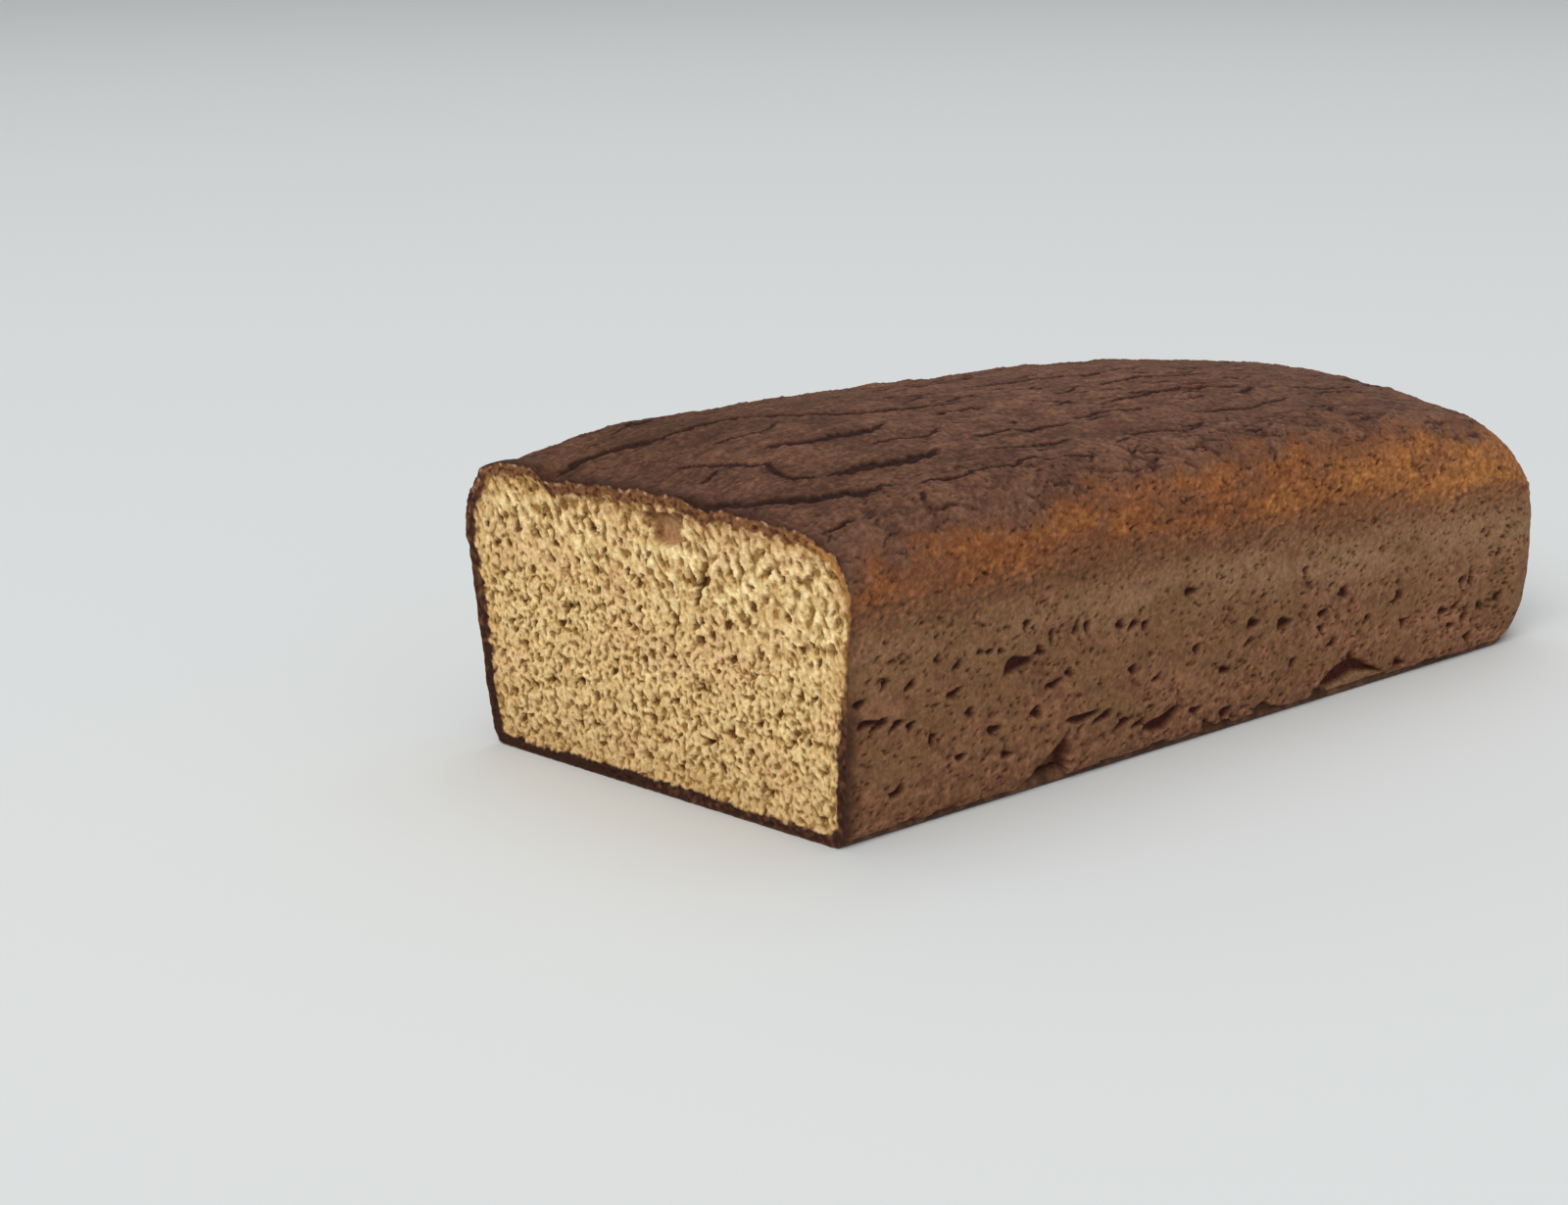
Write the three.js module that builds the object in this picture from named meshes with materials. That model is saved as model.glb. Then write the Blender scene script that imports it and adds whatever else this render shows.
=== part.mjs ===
// Tin loaf, cut open at one end. Millimetres, +Z up, the long axis along Y,
// the cut face looking towards -Y, origin at the middle of the flat base.
//
// The loaf is one baked piece, so it is one closed skin: six curved panels
// (base, two tin-side walls, domed top, cut face, closed end) that share their
// edges. Every cross-section is a flat base with small rounded edges, walls
// that lean out as the tin does, a rounded shoulder and a low dome on top.
import * as THREE from "three";
import { mergeVertices } from "three/addons/utils/BufferGeometryUtils.js";

// ---- driving dimensions -------------------------------------------------
const LENGTH = 247.5; // along the +X wall, from the cut to the closed end
const CUT_SKEW = Math.tan((12.5 * Math.PI) / 180); // the knife ran a little off square
const CUT_PIVOT_X = 58; // the cut starts at this X on the +X wall
const HEIGHTS = [73, 79.8, 81, 80.2, 79.1, 77.9, 75.5, 70.8, 65]; // crown height, cut to closed end
const TOP_HALF_RIGHT = 59.8; // half width at the shoulder, +X wall
const TOP_HALF_LEFT = 58.6; // half width at the shoulder, -X wall
const BASE_HALF_RIGHT = 57.8; // half width at the base, +X wall
const BASE_HALF_LEFT = 52.5; // half width at the base, -X wall
const WALL_FULL_Z = 54; // height at which the wall reaches full width
const SHOULDER_A = 17; // shoulder rounding across
const SHOULDER_V = 16; // shoulder rounding in height
const SHOULDER_POWER = 2.2; // superellipse exponent of the shoulder
const BASE_ROUND = 4; // base edge rounding
const DOME_AT_CUT = 1.5; // rise of the dome above the shoulders at the cut
const DOME_INSIDE = 3.5; // and along the rest of the loaf
const END_ROUND = 14; // closed end, rounding of its upright edges
const END_TOP_ROUND = 33; // closed end, rounding of the top over
const END_TOP_DROP = 0.82; // share of that rounding taken off the height
const END_LEAN = 4.8; // the closed end leans out by this much towards its top
const END_LEAN_Z = 55;
const ACROSS = 20,
  UP = 14,
  ALONG = 36; // panel divisions

// ---- small helpers --------------------------------------------------------
const clamp = (v, a, b) => Math.min(Math.max(v, a), b);
// inset of a quarter round of radius r at distance t from the end
const round = (t, r) => {
  const k = clamp(t, 0, r);
  return r - Math.sqrt(Math.max(r * r - (r - k) * (r - k), 0));
};
// smooth curve through evenly spaced values
function smooth(values, u) {
  const n = values.length - 1;
  const s = clamp(u, 0, 1) * n;
  const i = Math.min(Math.floor(s), n - 1);
  const f = s - i;
  const at = (j) =>
    j < 0
      ? 2 * values[0] - values[1]
      : j > n
        ? 2 * values[n] - values[n - 1]
        : values[j];
  const [a, b, c, d] = [at(i - 1), at(i), at(i + 1), at(i + 2)];
  return (
    0.5 *
    (2 * b +
      (c - a) * f +
      (2 * a - 5 * b + 4 * c - d) * f * f +
      (3 * b - a - 3 * c + d) * f * f * f)
  );
}
// n points at even spacing along a polyline
function resample(points, n) {
  const d = [0];
  for (let i = 1; i < points.length; i++)
    d.push(
      d[i - 1] +
        Math.hypot(
          points[i][0] - points[i - 1][0],
          points[i][1] - points[i - 1][1],
        ),
    );
  const out = [];
  let j = 0;
  for (let i = 0; i < n; i++) {
    const t = (d[d.length - 1] * i) / (n - 1);
    while (j < d.length - 2 && d[j + 1] < t) j++;
    const f = clamp((t - d[j]) / (d[j + 1] - d[j] || 1), 0, 1);
    out.push([
      points[j][0] + (points[j + 1][0] - points[j][0]) * f,
      points[j][1] + (points[j + 1][1] - points[j][1]) * f,
    ]);
  }
  return out;
}

// ---- half a cross-section, from the base centre round to the top centre ----
function halfSection(baseHalf, topHalf, height, dome) {
  const pts = [[0, 0]];
  for (let i = 0; i <= 8; i++) {
    const a = (i * Math.PI) / 16;
    pts.push([
      baseHalf - BASE_ROUND + BASE_ROUND * Math.sin(a),
      BASE_ROUND - BASE_ROUND * Math.cos(a),
    ]);
  }
  const lowerCorner = 5; // middle of the base rounding
  const rv = Math.min(SHOULDER_V, height * 0.45);
  const rimZ = height - dome;
  const wallTop = rimZ - rv;
  for (let i = 1; i <= 13; i++) {
    const z = BASE_ROUND + ((wallTop - BASE_ROUND) * i) / 13;
    const s = clamp((z - BASE_ROUND) / (WALL_FULL_Z - BASE_ROUND), 0, 1.05);
    pts.push([baseHalf + (topHalf - baseHalf) * Math.pow(s, 0.8), z]);
  }
  const w = pts[pts.length - 1][0];
  for (let i = 1; i <= 18; i++) {
    const a = (i * Math.PI) / 36;
    const c = Math.pow(Math.max(Math.cos(a), 0), 2 / SHOULDER_POWER);
    const s = Math.pow(Math.sin(a), 2 / SHOULDER_POWER);
    pts.push([w - SHOULDER_A + SHOULDER_A * c, wallTop + rv * s]);
  }
  const upperCorner = lowerCorner + 4 + 13 + 9; // middle of the shoulder
  const flat = w - SHOULDER_A;
  for (let i = 1; i < 24; i++) {
    const x = flat * (1 - i / 23);
    pts.push([x, rimZ + dome * (1 - (x / flat) ** 2)]);
  }
  return { pts, lowerCorner, upperCorner };
}

// the four edges of the section at k (0 at the cut, 1 at the closed end)
function section(k) {
  const t = (1 - k) * LENGTH;
  const inset = round(t, END_ROUND);
  const height = smooth(HEIGHTS, k) - round(t, END_TOP_ROUND) * END_TOP_DROP;
  const dome = DOME_AT_CUT + (DOME_INSIDE - DOME_AT_CUT) * Math.min(k * 5, 1);
  const r = halfSection(
    BASE_HALF_RIGHT - inset,
    TOP_HALF_RIGHT - inset,
    height,
    dome,
  );
  const l = halfSection(
    BASE_HALF_LEFT - inset,
    TOP_HALF_LEFT - inset,
    height,
    dome,
  );
  const mirror = (list) => list.map(([x, z]) => [-x, z]);
  const lift = round(t, 3) * 0.8; // the base edge of the closed end is rounded too
  const raise = (list) =>
    list.map(([x, z]) => [x, z + lift * clamp(1 - z / 12, 0, 1)]);
  const lo = r.lowerCorner,
    hi = r.upperCorner;
  return {
    right: raise(resample(r.pts.slice(lo, hi + 1), UP + 1)),
    left: raise(resample(mirror(l.pts.slice(lo, hi + 1)), UP + 1)),
    base: raise(
      resample(
        [
          ...mirror(l.pts.slice(0, lo + 1)).reverse(),
          ...r.pts.slice(1, lo + 1),
        ],
        ACROSS + 1,
      ),
    ),
    top: raise(
      resample(
        [...mirror(l.pts.slice(hi)), ...r.pts.slice(hi, -1).reverse()],
        ACROSS + 1,
      ),
    ),
  };
}

// a section point at k, placed along the loaf between the skew cut and the leaning end
function place([x, z], k) {
  const start = (x - CUT_PIVOT_X) * CUT_SKEW;
  const end = LENGTH - END_LEAN * (1 - clamp(z / END_LEAN_Z, 0, 1));
  return [x, start + k * (end - start), z];
}

// a face filled in between its four edges
function fill(s, i, j) {
  const u = i / ACROSS,
    v = j / UP;
  const b = s.base[i],
    t = s.top[i],
    l = s.left[j],
    r = s.right[j];
  const c = [s.base[0], s.base[ACROSS], s.top[0], s.top[ACROSS]];
  return [0, 1].map(
    (a) =>
      (1 - v) * b[a] +
      v * t[a] +
      (1 - u) * l[a] +
      u * r[a] -
      ((1 - u) * (1 - v) * c[0][a] +
        u * (1 - v) * c[1][a] +
        (1 - u) * v * c[2][a] +
        u * v * c[3][a]),
  );
}

// ---- stations along the loaf, closer together towards the closed end --------
const stations = [];
for (let i = 0; i <= ALONG; i++) {
  const body = Math.round(ALONG * 0.67);
  const split = 1 - 36 / LENGTH;
  stations.push(
    i < body
      ? (split * i) / body
      : split +
          (1 - split) * Math.sin((((i - body) / (ALONG - body)) * Math.PI) / 2),
  );
}
const sections = stations.map(section);

const positions = [];
const triangle = (a, b, c) => positions.push(...a, ...b, ...c);
// a panel whose outward side is where U x V points
function panel(nu, nv, at, flip) {
  for (let i = 0; i < nu; i++)
    for (let j = 0; j < nv; j++) {
      const [p, q, r, s] = [
        at(i, j),
        at(i + 1, j),
        at(i + 1, j + 1),
        at(i, j + 1),
      ];
      if (flip) {
        triangle(p, r, q);
        triangle(p, s, r);
      } else {
        triangle(p, q, r);
        triangle(p, r, s);
      }
    }
}
const last = stations.length - 1;
panel(ACROSS, last, (i, j) => place(sections[j].top[i], stations[j]), false);
panel(ACROSS, last, (i, j) => place(sections[j].base[i], stations[j]), true);
panel(last, UP, (i, j) => place(sections[i].right[j], stations[i]), false);
panel(last, UP, (i, j) => place(sections[i].left[j], stations[i]), true);
panel(ACROSS, UP, (i, j) => place(fill(sections[0], i, j), 0), false);
panel(ACROSS, UP, (i, j) => place(fill(sections[last], i, j), 1), true);

let geometry = new THREE.BufferGeometry();
geometry.setAttribute(
  "position",
  new THREE.Float32BufferAttribute(positions, 3),
);
geometry = mergeVertices(geometry, 1e-4);
geometry.computeBoundingBox();
const box = geometry.boundingBox;
geometry.translate(
  -(box.min.x + box.max.x) / 2,
  -(box.min.y + box.max.y) / 2,
  -box.min.z,
);
geometry.computeVertexNormals();

// ---- scene ------------------------------------------------------------------
const crust = new THREE.MeshStandardMaterial({
  name: "bread",
  color: 0x7d4f33,
  roughness: 0.85,
  metalness: 0,
});
const loaf = new THREE.Mesh(geometry, crust);
loaf.name = "loaf";

const group = new THREE.Group();
group.add(loaf);
export default group;
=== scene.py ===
import math

import bpy
import numpy as np
from mathutils import Matrix, Vector


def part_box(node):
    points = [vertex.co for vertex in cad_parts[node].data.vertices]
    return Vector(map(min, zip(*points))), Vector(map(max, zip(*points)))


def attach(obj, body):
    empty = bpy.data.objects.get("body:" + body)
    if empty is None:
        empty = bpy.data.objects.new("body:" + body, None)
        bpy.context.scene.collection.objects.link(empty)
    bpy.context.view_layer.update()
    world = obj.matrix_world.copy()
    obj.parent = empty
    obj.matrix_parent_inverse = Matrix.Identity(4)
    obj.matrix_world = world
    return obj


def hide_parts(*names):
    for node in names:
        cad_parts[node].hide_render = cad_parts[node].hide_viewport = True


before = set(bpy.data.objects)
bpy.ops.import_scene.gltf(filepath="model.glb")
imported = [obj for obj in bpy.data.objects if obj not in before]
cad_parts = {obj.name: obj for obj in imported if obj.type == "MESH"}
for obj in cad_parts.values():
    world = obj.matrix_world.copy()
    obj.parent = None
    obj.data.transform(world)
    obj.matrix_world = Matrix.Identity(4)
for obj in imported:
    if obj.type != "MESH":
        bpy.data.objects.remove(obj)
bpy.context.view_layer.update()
rng = np.random.default_rng(348)

# ---------------------------------------------------------------- the shape
LENGTH = 247.5
SKEW = math.tan(math.radians(12.5))
PIVOT_X = 58.0
HEIGHTS = [73, 79.8, 81, 80.2, 79.1, 77.9, 75.5, 70.8, 65]
TOP_R, TOP_L, BASE_R, BASE_L = 59.8, 58.6, 57.8, 52.5
WALL_Z, SHO_A, SHO_V, SHO_P, BASE_ROUND = 54.0, 17.0, 16.0, 2.2, 4.0
DOME_CUT, DOME_IN = 1.5, 3.5
END_R, END_TOP, END_DROP, END_LEAN, END_LEAN_Z = 14.0, 33.0, 0.82, 4.8, 55.0

NX, NZ, NS_BODY, NS_END = 300, 170, 352, 76  # points across, up and along
M = 2 * (NX - 1) + 2 * (NZ - 1)


def sm(a, b, x):
    t = np.clip((x - a) / (b - a), 0, 1)
    return t * t * (3 - 2 * t)


def quarter(t, r):
    t = np.clip(t, 0, r)
    return r - np.sqrt(np.maximum(r * r - (r - t) ** 2, 0))


def smooth_value(values, u):
    K = np.asarray(values, float)
    n = len(K) - 1
    s = min(max(u, 0.0), 1.0) * n
    i = min(int(s), n - 1)
    f = s - i
    k = np.concatenate([[2 * K[0] - K[1]], K, [2 * K[-1] - K[-2]]])
    a, b, c, d = k[i : i + 4]
    return 0.5 * (
        2 * b
        + (c - a) * f
        + (2 * a - 5 * b + 4 * c - d) * f * f
        + (3 * b - a - 3 * c + d) * f**3
    )


def resample(q, n):
    d = np.r_[0, np.cumsum(np.hypot(*np.diff(q, axis=0).T))]
    t = np.linspace(0, d[-1], n)
    return np.stack([np.interp(t, d, q[:, 0]), np.interp(t, d, q[:, 1])], 1)


def half_section(base, top, height, dome):
    th = np.linspace(0, np.pi / 2, 9)
    low = np.stack(
        [
            base - BASE_ROUND + BASE_ROUND * np.sin(th),
            BASE_ROUND - BASE_ROUND * np.cos(th),
        ],
        1,
    )
    rv = min(SHO_V, height * 0.45)
    rim = height - dome
    wall_top = rim - rv
    z = np.linspace(BASE_ROUND, wall_top, 14)[1:]
    s = np.clip((z - BASE_ROUND) / (WALL_Z - BASE_ROUND), 0, 1.05)
    wall = np.stack([base + (top - base) * s**0.8, z], 1)
    w = wall[-1, 0]
    a = np.linspace(0, np.pi / 2, 37)[1:]
    sho = np.stack(
        [
            w - SHO_A + SHO_A * np.maximum(np.cos(a), 0) ** (2 / SHO_P),
            wall_top + rv * np.sin(a) ** (2 / SHO_P),
        ],
        1,
    )
    x = np.linspace(w - SHO_A, 0, 24)[1:]
    crown = np.stack([x, rim + dome * (1 - (x / (w - SHO_A)) ** 2)], 1)
    q = np.concatenate([[[0, 0]], low, wall, sho, crown])
    return q, 5, 5 + 4 + 13 + 18


def outline(k):
    """The closed outline at k (0 cut .. 1 closed end) as M points in x, z: base left to right, right wall up, top right to left, left wall down."""
    t = (1 - k) * LENGTH
    inset = float(quarter(t, END_R))
    height = smooth_value(HEIGHTS, k) - float(quarter(t, END_TOP)) * END_DROP
    dome = DOME_CUT + (DOME_IN - DOME_CUT) * min(k * 5, 1.0)
    r, lo, hi = half_section(BASE_R - inset, TOP_R - inset, height, dome)
    l, _, _ = half_section(BASE_L - inset, TOP_L - inset, height, dome)
    mir = np.array([-1.0, 1.0])
    base = resample(np.concatenate([(l[: lo + 1] * mir)[::-1], r[1 : lo + 1]]), NX)
    right = resample(r[lo : hi + 1], NZ)
    top = resample(np.concatenate([l[hi:] * mir, r[hi:][::-1][1:]]), NX)[::-1]
    left = (resample(l[lo : hi + 1], NZ) * mir)[::-1]
    q = np.concatenate([base[:-1], right[:-1], top[:-1], left[:-1]])
    lift = float(quarter(t, 3.0)) * 0.8
    q[:, 1] += lift * np.clip(1 - q[:, 1] / 12, 0, 1)
    return q


def place(q, k):
    x, z = q[..., 0], q[..., 1]
    start = (x - PIVOT_X) * SKEW
    end = LENGTH - END_LEAN * (1 - np.clip(z / END_LEAN_Z, 0, 1))
    return np.stack([x, start + k * (end - start), z], -1)


split = 1 - 36 / LENGTH
stations = np.concatenate(
    [
        np.linspace(0, split, NS_BODY, endpoint=False),
        split + (1 - split) * np.sin(np.linspace(0, np.pi / 2, NS_END)),
    ]
)
NS = len(stations)
ring = np.stack([place(outline(k), k) for k in stations])  # NS, M, 3
raw_low, raw_high = ring.reshape(-1, 3).min(0), ring.reshape(-1, 3).max(0)

# parts of the ring
J_BASE, J_RIGHT, J_TOP, J_LEFT = 0, NX - 1, NX - 1 + NZ - 1, 2 * (NX - 1) + NZ - 1
part = np.zeros(M, int)
part[J_RIGHT:J_TOP] = 1
part[J_TOP:J_LEFT] = 2
part[J_LEFT:] = 3


# ---------------------------------------------------------------- noise
def noise(p, scale, seed):
    """Smooth gradient noise of points, roughly -1..1."""
    g = np.random.default_rng(seed).normal(size=(4096, 3)).astype(np.float32)
    g /= np.linalg.norm(g, axis=1, keepdims=True)
    q = (p / np.asarray(scale)).astype(np.float32) + 100.0
    i = np.floor(q).astype(np.int64)
    f = q - i
    w = f * f * f * (f * (f * 6 - 15) + 10)
    out = np.zeros(p.shape[:-1], np.float32)
    for dx in (0, 1):
        for dy in (0, 1):
            for dz in (0, 1):
                h = (
                    (i[..., 0] + dx) * 73856093
                    ^ (i[..., 1] + dy) * 19349663
                    ^ (i[..., 2] + dz) * 83492791
                )
                h = (h ^ (h >> 9)) & 4095
                v = g[h]
                d = (
                    v[..., 0] * (f[..., 0] - dx)
                    + v[..., 1] * (f[..., 1] - dy)
                    + v[..., 2] * (f[..., 2] - dz)
                )
                wx = w[..., 0] if dx else 1 - w[..., 0]
                wy = w[..., 1] if dy else 1 - w[..., 1]
                wz = w[..., 2] if dz else 1 - w[..., 2]
                out += wx * wy * wz * d
    return out * 1.7


def blur(a, n, passes=2):
    """Box blur by n points each way along and round the ring."""
    for _ in range(passes):
        p = np.pad(a, ((n, n), (0, 0)), "edge").cumsum(0)
        p = np.vstack([np.zeros((1, a.shape[1])), p])
        a = (p[2 * n + 1 :] - p[: -2 * n - 1]) / (2 * n + 1)
        q = np.hstack([a[:, -n:], a, a[:, :n]]).cumsum(1)
        q = np.hstack([np.zeros((a.shape[0], 1)), q])
        a = (q[:, 2 * n + 1 :] - q[:, : -2 * n - 1]) / (2 * n + 1)
    return a.astype(np.float32)


def table(i, j, seed, width):
    t = np.random.default_rng(seed).random((8192, width)).astype(np.float32)
    h = (i * 73856093) ^ (j * 19349663) ^ (seed * 83492791)
    h = (h ^ (h >> 11)) & 8191
    return t[h]


def pores(x, z, cell, rmin, rmax, keep, seed, stretch=1.25, soft=0.45, lean=0.6):
    """Open bubbles scattered one to a cell: 0 on the wall .. 1 at the bottom."""
    i0 = np.floor(x / cell).astype(np.int64)
    j0 = np.floor(z / cell).astype(np.int64)
    best = np.zeros(x.shape, np.float32)
    for di in (-1, 0, 1):
        for dj in (-1, 0, 1):
            i, j = i0 + di, j0 + dj
            t = table(i, j, seed, 7)
            dx = x - (i + t[..., 0]) * cell
            dz = z - (j + t[..., 1]) * cell
            r = rmin + (rmax - rmin) * t[..., 2] ** 1.8
            a = (t[..., 4] - 0.5) * math.pi * lean
            ca, sa = np.cos(a), np.sin(a)
            u, v = dx * ca + dz * sa, -dx * sa + dz * ca
            s = stretch * (0.8 + 0.7 * t[..., 5])
            rho = np.hypot(u / r, v / (r * s))
            rho = rho * (
                1 + 0.16 * np.sin(3 * np.arctan2(v, u) + 6.3 * t[..., 6])
            )
            d = sm(1.12, 1.12 - soft * 1.6, rho) * (0.55 + 0.45 * t[..., 2])
            best = np.maximum(best, np.where(t[..., 3] < keep, d, 0))
    return best


def cell_edges(x, y, cell, seed):
    """Distance to the borders of random plates, in mm, and a value for each plate."""
    cx, cy = cell
    i0 = np.floor(x / cx).astype(np.int64)
    j0 = np.floor(y / cy).astype(np.int64)
    f1 = np.full(x.shape, 1e9, np.float32)
    f2 = f1.copy()
    own = np.zeros(x.shape, np.float32)
    for di in (-2, -1, 0, 1, 2):
        for dj in (-2, -1, 0, 1, 2):
            i, j = i0 + di, j0 + dj
            t = table(i, j, seed, 3)
            d = np.hypot(
                (x - (i + t[..., 0]) * cx) / cx, (y - (j + t[..., 1]) * cy) / cy
            ).astype(np.float32)
            nearer = d < f1
            f2 = np.where(nearer, f1, np.minimum(f2, d))
            own = np.where(nearer, t[..., 2], own)
            f1 = np.where(nearer, d, f1)
    return (f2 - f1) * 0.5 * min(cx, cy), own


# ---------------------------------------------------------------- the crust
def grid_normals(g):
    du = np.roll(g, -1, 1) - np.roll(g, 1, 1)
    dv = np.gradient(g, axis=0)
    n = np.cross(dv, du)
    return n / np.maximum(np.linalg.norm(n, axis=-1, keepdims=True), 1e-9)


BELLY_Z = np.linspace(-10, 90, 401)
BELLY_Y = np.interp(BELLY_Z, [-10, 0, 3, 6, 10, 16, 22, 30, 38, 45, 52, 57, 62, 67, 73, 90],
                    [-2.0, -1.2, 1.2, 3.2, 4.6, 5.0, 4.6, 3.5, 2.1, 0.5, -1.5, -2.8, -3.1, -2.4, -0.8, 0])
BELLY_Y = np.convolve(np.pad(BELLY_Y, 12, "edge"), np.hanning(25) / np.hanning(25).sum(), "valid")


def end_belly(z):
    """The closed end stands nearly upright and rounds in at its foot."""
    return np.interp(z, BELLY_Z, BELLY_Y)


normal = grid_normals(ring)
X, Y, Z = ring[..., 0], ring[..., 1], ring[..., 2]
step_s = np.linalg.norm(np.gradient(ring, axis=0), axis=-1)
step_j = np.linalg.norm(np.roll(ring, -1, 1) - ring, axis=-1)
from_cut = stations[:, None] * (LENGTH - (X - PIVOT_X) * SKEW)  # mm from the cut

pit = np.zeros((NS, M), np.float32)  # depth in mm of open pits
dark = np.zeros((NS, M), np.float32)  # 0..1 how dark a pit is inside
groove = np.zeros((NS, M), np.float32)  # depth in mm of cracks
groove_dark = np.zeros((NS, M), np.float32)


def stamp(s, j, a, b, angle, depth, shade, onto=None, onto_dark=None, soft=0.5, wob=1.0):
    """An oval hollow: a mm half length along the loaf, b mm round the section."""
    onto = pit if onto is None else onto
    onto_dark = dark if onto_dark is None else onto_dark
    si, ji = int(round(s)), int(round(j))
    if si < 0 or si >= NS:
        return
    ds = max(float(step_s[si, ji % M]), 0.08)
    dj = max(float(step_j[si, ji % M]), 0.08)
    r = max(a, b) * 1.3
    ns, nj = min(int(r / ds) + 1, 60), min(int(r / dj) + 1, 60)
    S = np.arange(max(si - ns, 0), min(si + ns + 1, NS))
    J = np.arange(ji - nj, ji + nj + 1)
    u = (S[:, None] - s) * ds
    v = (J[None, :] - j) * dj
    ca, sa = math.cos(angle), math.sin(angle)
    p, q = (u * ca + v * sa) / a, (-u * sa + v * ca) / b
    ph = (si * 7 + ji * 13) % 17
    th = np.arctan2(q, p)
    rho = np.hypot(p, q) * (1 + wob * (0.2 * np.sin(2 * th + ph) + 0.2 * np.sin(3 * th + 2 * ph)))
    m = sm(1.15, 1.15 - soft * 1.5, rho)
    at = np.ix_(S, J % M)
    onto[at] = np.maximum(onto[at], (m * depth).astype(np.float32))
    onto_dark[at] = np.maximum(onto_dark[at], (m * shade).astype(np.float32))


def s_of(y, x):
    start = (x - PIVOT_X) * SKEW
    k = (y - start) / (LENGTH - start)
    return float(np.interp(k, stations, np.arange(NS)))


mid = NS // 3
right_z = ring[mid, J_RIGHT:J_TOP, 2]
left_z = ring[mid, J_LEFT:, 2][::-1]
top_x = ring[mid, J_TOP:J_LEFT, 0][::-1]


def side_at(y, z, side=1):
    """Grid place of a point on the +X (1) or -X (-1) wall."""
    if side > 0:
        return s_of(y, 58.5), J_RIGHT + float(
            np.interp(z, right_z, np.arange(len(right_z)))
        )
    return s_of(y, -57.5), M - 1 - float(
        np.interp(z, left_z, np.arange(len(left_z)))
    )


def top_at(x, y):
    return s_of(y, x), J_LEFT - 1 - float(np.interp(x, top_x, np.arange(len(top_x))))


def r_(lo, hi):
    return float(rng.uniform(lo, hi))


# pits seen on the +X wall: along, up, half length, half height, turn
SEEN = [
    (49.6, 32.8, 3.4, 1.5, 0.35), (31, 30.1, 1.5, 1.0, 0.2), (5.5, 30.2, 2.2, 0.8, 0.1),
    (9.5, 29.0, 2.0, 0.8, 0.1), (14.2, 27.6, 1.9, 0.7, 0.1), (18.2, 26.2, 1.4, 0.7, 0.2),
    (3.3, 35.9, 1.2, 0.9, 0), (10.4, 38.6, 1.1, 0.8, 0.3), (17.9, 35.9, 1.2, 0.9, 0),
    (56.9, 19.8, 1.6, 1.1, 0.2), (43.9, 18.3, 1.5, 1.0, 0), (72, 15.2, 3.6, 0.9, 0.05),
    (79.5, 14, 2.6, 0.9, 0.1), (86.5, 10.8, 2.2, 0.8, 0.1), (92.5, 9.2, 1.8, 0.8, 0),
    (100.6, 7.9, 4.2, 1.9, 0.25), (15.5, 10.7, 1.5, 1.1, 0), (129.6, 27.7, 1.8, 1.2, 0.3),
    (105.6, 40.3, 1.6, 0.9, 0.2), (68.1, 38.2, 0.7, 1.4, 0), (71.6, 37.5, 0.7, 1.5, 0.1),
    (60.4, 37.7, 0.8, 1.3, 0), (52.1, 42.1, 1.1, 0.8, 0), (56.8, 34.6, 1.2, 0.9, 0),
    (82.5, 36.1, 1.5, 0.8, 0), (87, 35.3, 1.4, 0.8, 0), (91, 34.6, 1.3, 0.8, 0),
    (31.8, 36.6, 1.0, 0.9, 0), (25.5, 39.7, 0.9, 0.8, 0), (38.2, 38.2, 0.8, 0.6, 0),
    (41.2, 37.6, 0.8, 0.6, 0), (44.4, 37, 0.9, 0.6, 0), (163.9, 30.1, 1.9, 1.2, 0.3),
    (186.9, 24.9, 1.6, 1.2, 0), (217.3, 26.3, 0.9, 2.0, 0.1), (213.6, 25.2, 0.8, 1.7, 0),
    (206.7, 17.3, 1.6, 1.0, 0.2), (212.4, 18.1, 1.3, 0.9, 0), (217, 14.6, 1.0, 2.0, 0),
    (223.1, 16.4, 1.1, 1.0, 0), (229.7, 18.7, 1.1, 1.4, 0), (227.7, 34.3, 1.0, 0.9, 0),
    (190.5, 16.7, 1.2, 0.9, 0), (211, 11.8, 1.0, 0.9, 0), (219.7, 6.6, 1.3, 0.9, 0),
    (175.1, 20.5, 1.3, 0.8, 0), (156.4, 25.5, 1.4, 0.9, 0.2), (156.7, 21.3, 1.2, 0.8, 0),
    (161.7, 16.3, 1.4, 0.9, 0), (141.2, 25.6, 2.0, 1.3, 0.4), (129.2, 23, 1.2, 0.8, 0),
    (147.5, 38.8, 1.1, 0.7, 0), (112.2, 8.2, 1.5, 0.9, 0), (123.3, 5.4, 2.2, 1.0, 0.1),
    (137.5, 3.2, 3.2, 1.1, 0), (191, 4.2, 1.6, 1.3, 0), (116.7, 3.2, 1.6, 1.3, 0),
    (36, 24.5, 1.3, 0.8, 0), (25, 21, 1.2, 0.9, 0), (62, 25.5, 1.7, 0.9, 0.2),
    (66.5, 27.5, 1.2, 0.8, 0), (34, 14, 1.1, 0.8, 0), (48, 11.5, 1.3, 0.8, 0),
    (88, 24, 1.4, 0.8, 0), (97, 20, 1.2, 0.8, 0), (110, 25, 1.4, 0.9, 0.2),
    (121, 17, 1.5, 0.9, 0), (147, 14, 1.3, 0.8, 0), (170, 11, 1.3, 0.8, 0),
]
for y, z, a, b, ang in SEEN:
    s, j = side_at(y, z)
    stamp(s, j, a * 1.1, b * 1.25, ang, min(1.1 + 0.5 * min(a, b), 2.1), 1.0, soft=0.26)


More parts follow.
